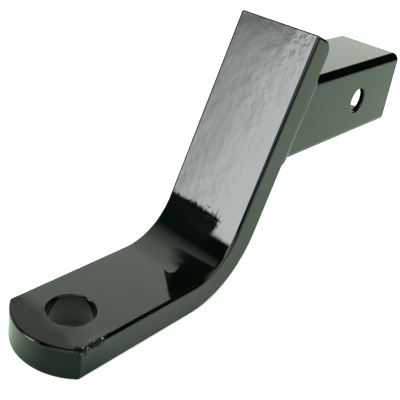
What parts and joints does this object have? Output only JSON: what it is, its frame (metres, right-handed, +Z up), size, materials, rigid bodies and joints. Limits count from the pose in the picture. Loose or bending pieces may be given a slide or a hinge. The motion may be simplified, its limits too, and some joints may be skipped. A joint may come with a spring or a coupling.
{
  "type": "ball mount",
  "caption": "Drop ball mount: a bent flat steel bar with a ball hole in its platform, welded to a hollow square shank with a cross pin hole, all in glossy black.",
  "frame": {"origin": "centre of the hitch pin hole, on the axis of the shank", "axes": "+Z up, +Y along the shank to its open end, away from the ball platform, +X along the cross pin"},
  "size_m": [0.0572, 0.3009, 0.1584],
  "materials": {
    "black_coat": "gloss"
  },
  "bodies": {
    "root": {"bent_bar": "black_coat", "shank_tube": "black_coat", "weld_bead": "black_coat"}
  },
  "joints": []
}
